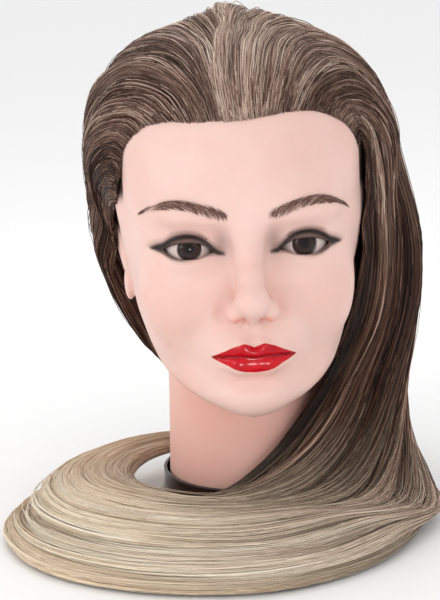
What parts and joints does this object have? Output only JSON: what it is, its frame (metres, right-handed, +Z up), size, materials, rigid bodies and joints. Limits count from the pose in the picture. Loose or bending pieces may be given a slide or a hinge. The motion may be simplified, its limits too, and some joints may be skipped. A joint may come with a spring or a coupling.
{
  "type": "hairdressing training head",
  "caption": "Hairdressing training head: moulded face and neck with glass-look eyes and very long straight hair, turning on a cup base with a clamp socket.",
  "frame": {"origin": "centre of the clamp socket's mouth, on the table the base stands on", "axes": "+Z up along the neck and the turning axis; the face looks along -Y; the hair falls on the +X side"},
  "size_m": [0.2463, 0.2682, 0.2933],
  "materials": {
    "foot_rubber": "matt",
    "cup_plastic": "satin",
    "socket_plastic": "matt",
    "steel": "bright",
    "tack_steel": "bright",
    "nylon": "matt",
    "plug_plastic": "matt",
    "vinyl_skin": "soft satin with painted make-up",
    "eye_white": "gloss",
    "iris": "gloss",
    "cornea": "clear gloss",
    "holder_plastic": "matt",
    "hair_roots": "synthetic fibre, brown with lighter streaks",
    "hair_lengths": "synthetic fibre, brown",
    "hair_ends": "synthetic fibre, blonde"
  },
  "bodies": {
    "base": {"foot_ring": "foot_rubber", "base_cup": "cup_plastic", "clamp_socket": "socket_plastic", "socket_screws": "steel", "thrust_washer": "nylon", "retaining_clip": "steel"},
    "head": {"neck_plug": "plug_plastic", "neck_bush": "nylon", "neck_tacks": "tack_steel", "skin": "vinyl_skin", "eye_ball_right": "eye_white", "eye_iris_right": "iris", "eye_cornea_right": "cornea", "eye_holder_right": "holder_plastic", "eye_ball_left": "eye_white", "eye_iris_left": "iris", "eye_cornea_left": "cornea", "eye_holder_left": "holder_plastic", "hair_top": "hair_roots", "hair_front": "hair_roots", "hair_side_right": "hair_roots", "hair_side_left": "hair_roots", "hair_behind_right": "hair_roots", "hair_behind_left": "hair_roots", "hair_back": "hair_roots", "hair_fall_front": "hair_lengths", "hair_fall_rear": "hair_lengths", "hair_nape_sweep": "hair_lengths", "hair_back_sweep": "hair_lengths", "hair_front_sweep": "hair_lengths", "hair_coil_right": "hair_ends", "hair_coil_front": "hair_ends", "hair_coil_left": "hair_ends", "hair_coil_back": "hair_ends", "hair_tail": "hair_ends"}
  },
  "joints": [
    {"name": "head_turn", "type": "hinge", "parent": "base", "child": "head", "pos_m": [0, 0, 0], "axis": [0, 0, 1], "continuous": true}
  ]
}
